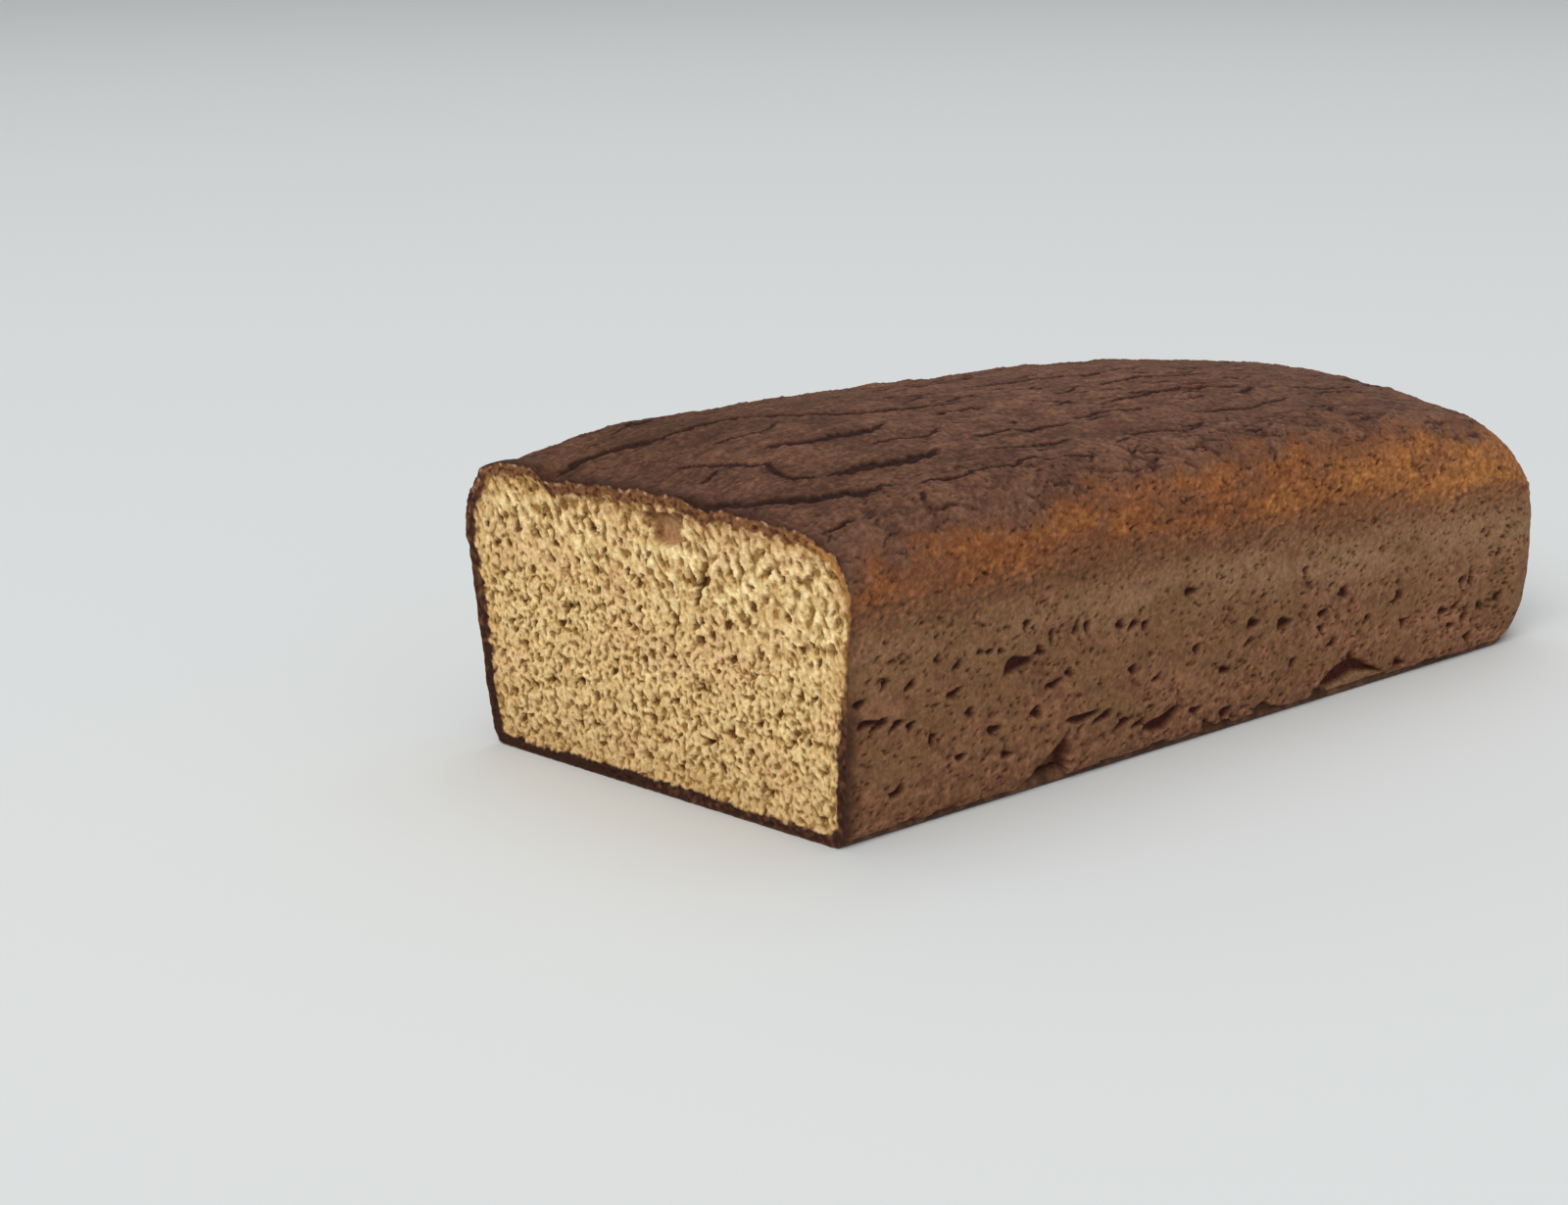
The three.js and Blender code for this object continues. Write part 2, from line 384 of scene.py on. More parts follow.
def scatter(side, n, amin, amax, bmin, bmax, ylo=2, yhi=236, zlo=2, zhi=50, shade=0.9):
    for _ in range(n):
        y, z = r_(ylo, yhi), zlo + (zhi - zlo) * r_(0, 1) ** 1.15
        k = r_(0, 1) ** 2.2
        a, b = amin + (amax - amin) * k, bmin + (bmax - bmin) * r_(0, 1) ** 1.6
        s, j = side_at(y, z, side)
        if s >= NS - 4:
            continue
        stamp(
            s, j, a, b, r_(-0.5, 0.6), r_(0.45, 0.8) + 0.4 * min(a, b), shade * r_(0.6, 1)
        )


scatter(1, 520, 0.4, 1.2, 0.35, 0.75)
scatter(1, 900, 0.28, 0.55, 0.25, 0.5, shade=0.7)
scatter(-1, 620, 0.4, 1.9, 0.35, 1.0)
scatter(-1, 900, 0.28, 0.55, 0.25, 0.5, shade=0.7)
for y, z, a, b, ang in SEEN[::2]:
    s, j = side_at(min(y * 0.93 + 6, 228), max(z * 0.9 + 3, 4), -1)
    stamp(s, j, a * r_(0.7, 1.1), b, -ang, 1.2 + 0.4 * min(a, b), 1.0, soft=0.42)
# the base: the tin's floor left it flat with fine and larger pits
for _ in range(900):
    s, j = r_(6, NS - 40), r_(8, NX - 9)
    k = r_(0, 1) ** 3
    stamp(s, j, 0.4 + 1.9 * k, 0.4 + 1.3 * k * r_(0.5, 1), r_(-1.5, 1.5), 0.5 + 0.9 * k, r_(0.5, 1))
# the closed end's rounding and the shoulders have a few
for _ in range(130):
    s = r_(NS - NS_END + 4, NS - 6)
    j = r_(J_RIGHT + 10, J_TOP - 20) if r_(0, 1) < 0.5 else r_(J_LEFT + 20, M - 10)
    stamp(s, j, r_(0.35, 1.1), r_(0.35, 1.0), r_(-0.6, 0.6), r_(0.5, 1.1), r_(0.6, 1))
for _ in range(240):
    s, z = r_(3, NS - 30), r_(50, 70)
    j = side_at(0, z, 1 if r_(0, 1) < 0.5 else -1)[1]
    stamp(s, j, r_(0.3, 0.8), r_(0.25, 0.6), r_(-0.7, 0.7), r_(0.3, 0.7), r_(0.3, 0.7))

# hollows at the base edge of the +X wall, where the dough didn't fill the tin
scoop = np.zeros((NS, M), np.float32)
scoop_dark = np.zeros((NS, M), np.float32)
for y, z, a, b, ang, d in (
    (118, 1.6, 2.0, 1.8, 0.0, 1.6), (124, 1.4, 3.6, 1.7, 0.0, 1.6),
    (139, 1.2, 6.5, 1.6, 0.05, 1.6), (101, 1.0, 3.0, 1.2, 0, 1.2), (83, 0.9, 2.4, 1.1, 0, 1.1),
    (31, 0.8, 2.6, 1.1, 0, 1.1), (20, 1.2, 1.6, 1.4, 0, 1.3), (205, 1.0, 4.0, 1.2, 0, 1.2),
):
    s, j = side_at(y, z)
    stamp(s, j, a, b, ang, d, 1.0, scoop, scoop_dark, soft=0.22)
    if y < 190:
        s, j = side_at(225 - y, z, -1)
        stamp(s, j, a * 0.8, b * 0.8, -ang, d * 0.8, 1.0, scoop, scoop_dark, soft=0.22)

wob_y = Y + 0.9 * noise(ring, 4.0, 14) + 0.4 * noise(ring, 1.5, 15)
wob_z = Z + 0.8 * noise(ring, 4.0, 16) + 0.3 * noise(ring, 1.5, 17)
on_right = (part == 1)[None, :] | ((part == 0)[None, :] & (X > 40))
# lip: painted shade inside the hollows, along their overhanging upper edges, at the wedge's steep far side and in the
# gap above the flap
lip = np.zeros((NS, M), np.float32)
# a wedge, steep at its far side
roof = 13.0 * np.clip((wob_y - 50.0) / 17.0, 0, 1) ** 0.95
inside = sm(0, 0.9, roof - wob_z) * sm(51.0, 53.0, wob_y) * (1 - sm(66.8, 67.8, wob_y)) * on_right
scoop = np.maximum(scoop, 3.6 * inside * sm(50.5, 56, wob_y))
lip = np.maximum(lip, inside * np.maximum(1 - sm(0.4, 1.6, roof - wob_z), sm(64.6, 66.4, wob_y)))
scoop_dark = np.maximum(scoop_dark, inside)
# an arched one with a flap hanging in it
span = np.clip((wob_y - 153.5) / 31.5, 0, 1)
arch = 9.4 * np.sin(np.pi * span**0.75) ** 0.75
flap = 4.4 * np.sin(np.pi * np.clip((wob_y - 157.5) / 28.5, 0, 1) ** 1.0) ** 0.8
inside = sm(0, 0.8, arch - wob_z) * on_right * (wob_y > 153.5) * (wob_y < 185)
hang = sm(-0.3, 0.4, flap - wob_z)
scoop = np.maximum(scoop, inside * (3.0 - 2.3 * hang))
lip = np.maximum(lip, inside * (1 - hang) * (1 - 0.5 * sm(168, 182, wob_y)))
scoop_dark = np.maximum(scoop_dark, inside * (1 - hang))
flap_w = inside * hang

# ---- cracks on the top: x, y of their run, half width at its widest, depth
CRACKS = [
    ([(-31, -17), (-29.3, -11.4), (-27.2, 1.6), (-22.3, 9)], 2.3, 1.5),
    ([(-27.2, 1.6), (-22.3, 9), (-25, 22), (-20, 35), (-11.8, 42), (-4.8, 52), (-1.2, 65), (1, 82)], 1.9, 1.5),
    ([(6.5, 17.3), (7.9, 23.1), (10.7, 31.4), (10.7, 43.5), (8.6, 51)], 2.1, 1.6),
    ([(-3.3, -1.3), (2.3, 4.3), (11, 9.5), (14.2, 13.4)], 0.8, 0.9),
    ([(12.8, 13.1), (19.8, 11.2), (25, 12.0), (28.4, 16)], 0.8, 0.9),
    ([(29.6, 17), (30.8, 22), (32.6, 29), (34.2, 36), (32.9, 42), (31.6, 49)], 2.1, 1.6),
    ([(10, -11), (17, -9.1), (25.5, -2.9), (32.5, 4.1), (37, 12), (41.6, 20), (43.7, 26)], 2.1, 1.6),
    ([(19.2, 112), (17.1, 130), (16.4, 150), (19, 163)], 1.2, 1.2),
    ([(25.5, 96), (25.5, 110), (26.9, 123)], 1.0, 1.0),
    ([(27.6, 62), (29, 77), (29.7, 93)], 0.9, 0.9),
    ([(37.4, 60), (38.8, 72), (39.5, 83)], 0.8, 0.8),
    ([(9.3, 97), (14.2, 108)], 0.9, 0.9),
    ([(7.0, 70.5), (9.8, 68.2)], 1.1, 1.2), ([(12.5, 66.9), (14.6, 68.4)], 0.9, 1.0), ([(17.6, 64.6), (19.4, 67.2)], 0.9, 1.0),
    ([(9.3, -3), (7.5, 0), (6.5, 4)], 0.7, 0.8),
    ([(49.9, 0.3), (48.6, 8.5)], 0.8, 0.9),
    ([(46, 30), (48, 42), (46.5, 55), (48, 70)], 0.7, 0.8),
    ([(-40, 4), (-42, 22), (-38, 40), (-41, 58)], 1.2, 1.2),
    ([(-14, 96), (-18, 118), (-13, 140), (-16, 160)], 1.2, 1.2),
    ([(-34, 80), (-31, 100), (-35, 122)], 1.1, 1.1),
    ([(33, 130), (36, 148), (32, 168)], 0.9, 0.9),
    ([(2, 128), (-1, 146), (3, 170)], 0.9, 0.9),
    ([(-6, 180), (-9, 196), (-3, 210)], 0.8, 0.8),
    ([(24, 176), (27, 190), (22, 204)], 0.8, 0.8),
    ([(-38, 150), (-36, 172), (-40, 190)], 0.9, 0.9),
    ([(-20, 196), (-25, 208)], 0.7, 0.7), ([(41, 100), (43, 118)], 0.7, 0.7),
    ([(-8, 12), (-5, 24), (-9, 34)], 0.6, 0.7), ([(20, 38), (22, 52), (19, 60)], 0.6, 0.7),
]


rng_c = np.random.default_rng(77)


def crack(points, width, depth):
    p = np.array(points, float)
    d = np.r_[0, np.cumsum(np.hypot(*np.diff(p, axis=0).T))]
    n = max(int(d[-1] / 0.45), 4)
    t = np.linspace(0, d[-1], n)
    x, y = np.interp(t, d, p[:, 0]), np.interp(t, d, p[:, 1])
    kern = np.hanning(min(15, n // 2 * 2 + 1) + 2)[1:-1]
    kern /= kern.sum()
    pad = len(kern) // 2
    x = np.convolve(np.pad(x, pad, "edge"), kern, "valid")[:n]
    y = np.convolve(np.pad(y, pad, "edge"), kern, "valid")[:n]
    q = np.stack([x, y, np.full(n, width * 37.0)], 1)
    x = x + 1.3 * noise(q, 7.0, 11) + 0.7 * noise(q, 2.2, 12)
    swell = 0.72 + 0.28 * np.clip(0.5 + 0.9 * noise(q, 9.0, 13), 0, 1)
    taper = np.minimum(1, np.minimum(np.arange(n), np.arange(n)[::-1]) / (0.22 * n) + 0.15)
    for i in range(n):
        w = width * swell[i] * taper[i]
        s, j = top_at(x[i], y[i])
        j = j + w * 0.55 * rng_c.uniform(-1, 1) / 0.4
        frag = rng_c.uniform(0.45, 1.0)
        stamp(s, j, 0.8 + w * 0.5, max(w * 0.95 * frag, 0.4), rng_c.uniform(-0.25, 0.25), depth * swell[i] * taper[i] * (0.5 + 0.5 * frag),
              (0.8 + 0.2 * swell[i]) * min(taper[i] * 2.5, 1), groove, groove_dark, soft=0.4, wob=0.6)


for pts, width_, depth_ in CRACKS:
    crack(pts, width_ * 1.0, depth_ * 0.65)
for _ in range(1000):  # short tears in the shoulders and the rounding of the closed end
    s = r_(2, NS - 18)
    d = r_(-46, 44)
    j = (J_TOP if r_(0, 1) < 0.62 else J_LEFT) + d
    k = r_(0, 1) ** 2
    far = 1 - 0.45 * float(sm(NS - NS_END - 30, NS - NS_END, s))
    stamp(s, j, 0.5 + 1.5 * k, r_(0.22, 0.42), r_(-0.9, 0.9), r_(0.25, 0.55) * far, r_(0.35, 0.75) * far,
          groove, groove_dark, soft=0.45)
for _ in range(150):  # short side cracks
    x0, y0 = r_(-50, 52), r_(-14, 222)
    if -36 < x0 < 46 and y0 < 62:
        continue
    a = r_(-0.35, 0.35) if r_(0, 1) < 0.8 else r_(-0.8, 0.8)
    ln = r_(4, 15) if abs(a) < 0.36 else r_(2, 5)
    crack([(x0, y0), (x0 + math.sin(a) * ln * 0.5 + r_(-1, 1), y0 + math.cos(a) * ln * 0.5),
           (x0 + math.sin(a * 1.2) * ln, y0 + math.cos(a) * ln)], r_(0.35, 0.75), r_(0.3, 0.7))

# ---- fields over the crust
top_w = sm(0.55, 0.9, normal[..., 2])  # the dome
lump = noise(ring, 26.0, 1)
mid_n = noise(ring, 7.0, 2)
small = noise(ring, 2.4, 3)
fine = noise(ring, 1.1, 4)
streak = noise(ring, (3.0, 9.0, 3.0), 5)
blotch = noise(ring, (14.0, 22.0, 9.0), 6)
rim_z = 51 - 7.5 * sm(70, 240, Y) + 1.1 * noise(ring, (9, 9, 60), 7)
above = Z - rim_z  # mm above the tin's rim
side_w = 1 - top_w

# crinkled plates: small ones near the shoulders, larger and fainter on the dome
warp_x = X + 2.2 * noise(ring, 9.0, 21)
warp_y = Y + 2.6 * noise(ring, 9.0, 22)
girth = np.where(part[None, :] == 2, X, np.sign(X) * (59 + (66 - Z)))
edge_s, plate_s = cell_edges(girth + 1.5 * noise(ring, 6.0, 24), warp_y, (5.2, 9.5), 31)
edge_l, plate_l = cell_edges(warp_x, warp_y, (15.0, 26.0), 32)
nzt = normal[..., 2]
near_w = 1 - sm(25, 130, Y)
brown_w = sm(0.30 - 0.26 * near_w, 0.93 - 0.32 * near_w, nzt + 0.26 * blotch + 0.22 * mid_n + 0.20 * small + 0.12 * fine)
vein_a = noise(ring, (3.2, 4.2, 3.2), 27)
vein_b = noise(ring, (5.5, 7.5, 5.5), 28)
veins = np.maximum((1 - sm(0.02, 0.13, np.abs(vein_a))) * sm(0.0, 0.35, vein_b + 0.15),
                   (1 - sm(0.015, 0.10, np.abs(vein_b))) * sm(-0.1, 0.3, vein_a))
veins = veins * sm(-1.0, 3.5, above) * (1 - 0.55 * sm(0.93, 0.99, nzt)) * 0.22
specks = sm(0.25, 0.60, noise(ring, 1.35, 29)) * sm(-4, 1, above)
flecks_d = sm(0.22, 0.55, noise(ring, (1.5, 2.2, 1.3), 30)) * sm(-4, 1, above) * (1 - 0.6 * top_w)
sho = sm(0.30, 0.62, nzt) * (1 - sm(0.975, 0.998, nzt)) * sm(2, 7, above)
sho = sho * (1 - (1 - sm(58, 95, Y)) * sm(0.84, 0.92, nzt))
crinkle = (1 - sm(0.10, 0.75, edge_s)) * sho * np.clip(0.42 + 1.3 * mid_n + 0.9 * small, 0, 1) * (0.10 + 0.90 * brown_w)
plates = (1 - sm(0.1, 0.9, edge_l)) * top_w * np.clip(0.15 + 1.3 * blotch, 0, 1) * sm(50, 85, Y + 0.4 * np.abs(X))
wrinkle = (1 - sm(0.0, 0.22, np.abs(noise(ring, (2.6, 8.0, 2.6), 23)))) * top_w
knobs = np.abs(noise(ring, (2.6, 3.2, 2.6), 26)) * sm(-2, 3, above) * (1 - top_w * 0.85)
valley = blur(groove_dark, 5)

step = sm(-2.5, 2.0, above) * (part[None, :] != 0)  # above the rim the loaf stands proud
grain = np.clip(noise(ring, 1.0, 25) + 0.2, 0, 1) * np.exp(-((above - 0.6) / 3.2) ** 2)
grain = grain * (part[None, :] != 0) * (part[None, :] != 2)

high = sm(-4.0, 3.0, above)
off = -0.75 + 0.35 * lump + 0.16 * mid_n + (0.10 + 0.05 * high) * small + (0.05 + 0.08 * high * (0.5 + 0.5 * top_w) * (1 - 0.35 * sm(110, 200, Y))) * fine
off = off + 0.35 * step + 0.35 * grain + 0.55 * knobs
off = off - 0.42 * crinkle - 0.22 * plates - 0.04 * wrinkle - 0.12 * valley - 0.38 * veins + 0.16 * specks - 0.10 * flecks_d + 0.14 * top_w * streak
off = off + 0.25 * top_w * (plate_l - 0.5) + 0.18 * sho * (plate_s - 0.5)
off = off - groove - pit - scoop
# a soft swell and dip over the dome
off = off + 0.25 * top_w * mid_n
# the base lies flat
is_base = (part == 0)[None, :] * sm(0.4, 1.2, np.minimum(np.arange(M), NX - 1 - np.arange(M)).clip(0)[None, :] * 0.4)
off = np.where((part == 0)[None, :], off * (1 - is_base) + is_base * (-pit - 0.06 + 0.05 * small), off)
# ragged knife edge
rag = np.exp(-from_cut / 1.3)
edge_n = noise(ring, 2.3, 41) + 0.6 * noise(ring, 1.1, 42)
topside = (part == 2)[None, :] | ((part != 0)[None, :] & (Z > 58))
off = off - rag * np.where(topside, 0.55, 0.25) * np.clip(edge_n + 0.25, -0.3, 1.3)
bump = 2.1 * sm(-56, -48, X) * (1 - sm(-36.5, -32.5, X)) - 0.9 * sm(-35, -31.5, X) * (1 - sm(-28, 2, X))
bump = bump - 0.7 * np.exp(-(((X + 30.5) / 1.6) ** 2))
off = off + np.exp(-((from_cut / 5.0) ** 2)) * bump * topside
off = off + 0.55 * np.clip(noise(ring, (4.5, 4.5, 5.5), 43) + 0.35 * mid_n, -0.8, 0.6) * np.exp(-((from_cut / 6.0) ** 2)) * (part == 3)[None, :]
off = np.minimum(off, 0.25 + 0.9 * np.exp(-((from_cut / 5.0) ** 2)) * (X < -30))
off[-3:] = off[-3:] * np.array([0.8, 0.55, 0.4])[:, None] - 0.3 * np.array([0.2, 0.45, 0.6])[:, None]
ring_d = ring + normal * off[..., None]
ring_d[..., 2] = np.maximum(ring_d[..., 2], 0.0)
ring_d[..., 1] += end_belly(Z) * sm(26.0, 3.0, LENGTH * (1 - stations))[:, None]
# keep the first outline in the plane of the cut
x0, z0 = ring_d[0, :, 0], ring_d[0, :, 2]
ring_d[0] = place(np.stack([x0, z0], 1), 0.0)


# ---------------------------------------------------------------- the two end faces
def o_grid(rim, centre, half, layers, power=1.0):
    """Fills an outline (M points, x z) with loops going in to a rectangle, and a grid inside it.
    Returns loops (layers, M, 2) without the rim itself and the grid (NZ, NX, 2); the last loop is the grid's border."""
    gx = np.linspace(centre[0] - half[0], centre[0] + half[0], NX)
    gz = np.linspace(centre[1] - half[1], centre[1] + half[1], NZ)
    grid = np.stack(np.meshgrid(gx, gz), -1)
    border = np.concatenate([grid[0, :-1], grid[:-1, -1], grid[-1, ::-1][:-1], grid[::-1, 0][:-1]])
    f = (np.arange(1, layers) / layers) ** power
    loops = rim[None] + (border - rim)[None] * f[:, None, None]
    return loops, grid, border


LC, LE = 76, 34
rim_cut = np.stack([x0, z0], 1)
loops_c, grid_c, border_c = o_grid(rim_cut, (0.8, 36.0), (41.0, 17.0), LC)
rim_end = ring_d[-1][:, [0, 2]]
z_mid = rim_end[:, 1].max() / 2
loops_e, grid_e, border_e = o_grid(rim_end, (0.0, z_mid), (29.0, 7.0), LE)

# depth from the rim inwards, in mm, for every point of the cut
reach = np.linalg.norm(border_c - rim_cut, axis=1)
inward_l = (np.arange(1, LC) / LC)[:, None] * reach[None, :]
gap_to_border = np.minimum.reduce([
    grid_c[..., 0] - grid_c[0, 0, 0], grid_c[0, -1, 0] - grid_c[..., 0],
    grid_c[..., 1] - grid_c[0, 0, 1], grid_c[-1, 0, 1] - grid_c[..., 1]])
inward_g = gap_to_border + 17.0
cut_xz = np.concatenate([loops_c.reshape(-1, 2), grid_c.reshape(-1, 2)])
inward = np.concatenate([inward_l.ravel(), inward_g.ravel()])
cx, cz = cut_xz[:, 0], cut_xz[:, 1]
c3 = np.stack([cx, np.zeros_like(cx), cz], 1)

wx = cx + 0.5 * noise(c3, 2.6, 51) + 0.22 * noise(c3, 1.1, 52)
wz = cz + 0.5 * noise(c3 + 31, 2.6, 53) + 0.22 * noise(c3 + 31, 1.1, 54)
tight = sm(1.5, 9.0, inward)  # bubbles are finer next to the crust
soft_n = noise(c3, 1.3, 66)
soft_m = noise(c3, 4.5, 67)
upper = sm(38, 56, cz + 0.15 * cx)
maze_a = noise(np.stack([wx, 0 * wx, wz], 1), (1.25, 1, 1.6), 65) * (1 - upper)
maze_a = maze_a + noise(np.stack([wx + 0.35 * wz, 0 * wx, wz], 1), (1.6, 1, 2.9), 69) * upper
maze_b = noise(np.stack([wx, 0 * wx, wz], 1), (0.75, 1, 0.95), 68)
hollow = sm(0.04, 0.42, -maze_a)
hollow_b = sm(0.15, 0.5, -maze_b)
p_small = pores(wx, wz, 1.9, 0.28, 0.50, 0.42, 61, 1.35, soft=0.3)
p_mid = pores(wx + 5, wz + 3, 3.0, 0.46, 0.78, 0.44, 62, 1.4, soft=0.28)
p_mid2 = pores(wx - 7, wz + 9, 4.6, 0.60, 1.05, 0.46, 63, 1.35, soft=0.3)
p_big = pores(wx + 1, wz - 4, 9.0, 0.7, 1.25, 0.4, 64, 1.3) * tight

crumb_depth = (
    0.34 * hollow + 0.07 * hollow_b + 0.42 * p_small + 0.80 * p_mid * (0.5 + 0.5 * tight)
    + 0.95 * p_mid2 * (0.3 + 0.7 * tight) + 1.4 * p_big
)
# painted shade: how much the crumb's bubbles and hollows are darkened in colour
crumb_painted_shade = np.clip(
    np.maximum.reduce([0.68 * hollow, 0.56 * p_small, 0.86 * p_mid * (0.6 + 0.4 * tight),
                       0.88 * p_mid2 * (0.5 + 0.5 * tight), 1.0 * p_big]) + 0.18 * hollow_b, 0, 1)


def hole(x, z, a, b, ang, depth, shade, soft=0.4, wob=0.18):
    """One particular hollow of the cut face, sunk in depth and darkened with painted shade."""
    global crumb_depth, crumb_painted_shade
    u, v = wx - x, wz - z
    ca, sa = math.cos(ang), math.sin(ang)
    p, q = (u * ca + v * sa) / a, (-u * sa + v * ca) / b
    rho = np.hypot(p, q) * (1 + wob * np.sin(3 * np.arctan2(q, p) + x))
    m = sm(1.15, 1.15 - soft * 1.5, rho)
    crumb_depth = np.maximum(crumb_depth, m * depth)
    crumb_painted_shade = np.maximum(crumb_painted_shade, m * shade)
    return m


cave = hole(6.3, 64.2, 4.2, 3.8, 0.2, 3.0, 0.45, soft=0.2, wob=0.1)
cave = np.maximum(cave, hole(1.8, 67.2, 2.4, 1.6, 0.3, 1.8, 0.6))
cave = np.maximum(cave, hole(9.8, 67.0, 1.6, 2.2, 0.1, 1.6, 0.7))
for h in (
    (14.2, 54.6, 0.9, 2.6, 0.5, 2.3, 1.0), (16.6, 53.4, 0.9, 3.2, -0.25, 2.3, 1.0), (15.6, 50.6, 1.3, 1.0, 0.0, 2.0, 0.9),
    (17.8, 57.2, 0.8, 1.8, -0.3, 1.6, 0.8), (-15, 46.1, 0.8, 1.1, 0.2, 1.8, 1.0), (-7.9, 47.5, 1.0, 1.1, 0.0, 1.9, 1.0),
    (-24.4, 40.5, 1.2, 0.8, 0.4, 1.7, 0.9), (-18.3, 54.3, 0.8, 1.6, 0.5, 1.7, 0.9), (-6.1, 39.7, 1.1, 0.9, 0.3, 1.6, 0.9),
    (7.5, 34.2, 1.3, 0.9, 0.3, 1.7, 0.95), (16.5, 40, 1.0, 1.3, 0.2, 1.7, 0.9), (17.8, 16.1, 1.9, 1.2, 0.3, 2.0, 1.0),
    (-36, 58, 0.9, 1.9, 0.5, 1.7, 0.8), (-31, 63, 0.9, 1.8, 0.6, 1.6, 0.8), (25, 58, 0.7, 1.5, 0.2, 1.4, 0.8),
    (30, 47, 0.8, 1.3, 0.3, 1.6, 0.85), (36, 60, 0.8, 1.4, -0.3, 1.5, 0.8), (42, 36, 0.8, 1.3, 0.0, 1.5, 0.85),
    (-22, 22, 1.4, 1.0, 0.4, 1.7, 0.9), (-40, 28, 1.0, 1.3, 0.0, 1.6, 0.85), (2, 22, 1.0, 0.8, 0.0, 1.5, 0.85),
    (33, 24, 1.1, 0.8, 0.2, 1.6, 0.9), (-9, 61, 0.8, 1.8, 0.5, 1.5, 0.8), (-47, 44, 0.8, 1.5, 0.2, 1.5, 0.8),
):
    hole(*h)

# crust seen in section: brown band inside the rim, thicker at the base and top
facing = np.concatenate([
    np.repeat(np.linspace(0, 1, M)[None], LC - 1, 0).ravel(), np.zeros(NX * NZ)])
jj = np.concatenate([np.repeat(np.arange(M)[None], LC - 1, 0).ravel(), np.zeros(NX * NZ, int)])
tj = np.array([3.0, 1.6, 3.3, 3.1])[part].astype(float)  # base, right, top, left
tj = np.where((part == 1), 3.1 - 1.7 * sm(14, 42, rim_cut[:, 1]), tj)
k_ = np.hanning(61)
k_ /= k_.sum()
tj = np.convolve(np.r_[tj[-60:], tj, tj[:60]], k_, "same")[60:-60]
thick = np.where(np.arange(len(jj)) < (LC - 1) * M, tj[jj], 1.0)
thick = thick * (1 + 0.38 * noise(c3, 4.0, 71)) + 0.55 * noise(c3, 1.4, 72) + 0.3 * noise(c3, 0.8, 73)
rind = 1 - sm(-0.35, 0.55, inward - thick)  # 1 in the crust
glow = 1 - sm(0.5, 6.0, inward - thick)  # browned crumb beside it
crumb_depth = crumb_depth * (1 - 0.75 * rind) * sm(0.0, 0.8, inward)
rind_pores = pores(wx * 1.0 + 2, wz, 1.6, 0.25, 0.6, 0.5, 74, 1.0) * rind * sm(0.1, 0.6, inward)
depth = (
    0.28 * (1 - rind) * sm(0.0, 1.2, inward - thick) + crumb_depth + 0.7 * rind_pores
    - 0.07 * soft_n + 0.12 * soft_m + 0.22
)
depth = np.maximum(depth, 0.02)

n_cut = np.array([SKEW, -1.0, 0.0])
n_cut /= np.linalg.norm(n_cut)
cut_pts = place(cut_xz, 0.0) - n_cut[None] * depth[:, None]

end_xz = np.concatenate([loops_e.reshape(-1, 2), grid_e.reshape(-1, 2)])
end_base = place(end_xz, 1.0)
reach_e = np.linalg.norm(border_e - rim_end, axis=1)
in_e = np.concatenate([((np.arange(1, LE) / LE)[:, None] * reach_e[None]).ravel(),
                       np.full(NX * NZ, 6.0)])
pe = pores(end_base[:, 0], end_base[:, 2], 3.4, 0.35, 1.0, 0.5, 81, 0.8)
pe2 = pores(end_base[:, 0] + 4, end_base[:, 2] + 2, 7.5, 0.6, 1.5, 0.45, 82, 0.7)
fade = sm(0.3, 2.5, in_e)
end_pit = np.maximum(pe * 0.8, pe2 * 1.3) * fade
end_shade = np.clip(np.maximum(pe * 0.8, pe2), 0, 1) * fade
end_off = -0.45 + (0.35 * noise(end_base, 26.0, 1) + 0.16 * noise(end_base, 7.0, 2) + 0.1 * noise(end_base, 2.4, 3)) * fade - end_pit
end_off = end_off + end_belly(end_base[:, 2])
end_pts = end_base + np.array([0.0, 1.0, 0.0]) * end_off[:, None]


# ---------------------------------------------------------------- colour
def rgb(*v):
    return np.array(v, np.float32)


def blend(a, b, w):
    return a + (b - a) * np.clip(w, 0, 1)[..., None]


C_TOP = rgb(0.106, 0.046, 0.028)
C_TOP_LIGHT = rgb(0.168, 0.078, 0.046)
C_TOP_DEEP = rgb(0.021, 0.006, 0.005)
C_ORANGE = rgb(0.242, 0.083, 0.028)
C_GOLD = rgb(0.460, 0.190, 0.052)
C_KHAKI = rgb(0.285, 0.158, 0.080)
C_MAUVE = rgb(0.150, 0.064, 0.033)
C_MAUVE_LIGHT = rgb(0.292, 0.136, 0.070)
C_OLIVE = rgb(0.218, 0.113, 0.050)
C_PIT = rgb(0.042, 0.009, 0.008)
C_CRUMB = rgb(0.665, 0.440, 0.178)
C_CRUMB_LIGHT = rgb(0.90, 0.66, 0.335)
C_CRUMB_WARM = rgb(0.58, 0.33, 0.115)
C_PORE = rgb(0.300, 0.152, 0.040)
C_PORE_DEEP = rgb(0.085, 0.032, 0.010)
C_RIND = rgb(0.170, 0.070, 0.032)
C_RIND_DARK = rgb(0.040, 0.015, 0.009)
C_RIND_GOLD = rgb(0.48, 0.22, 0.060)


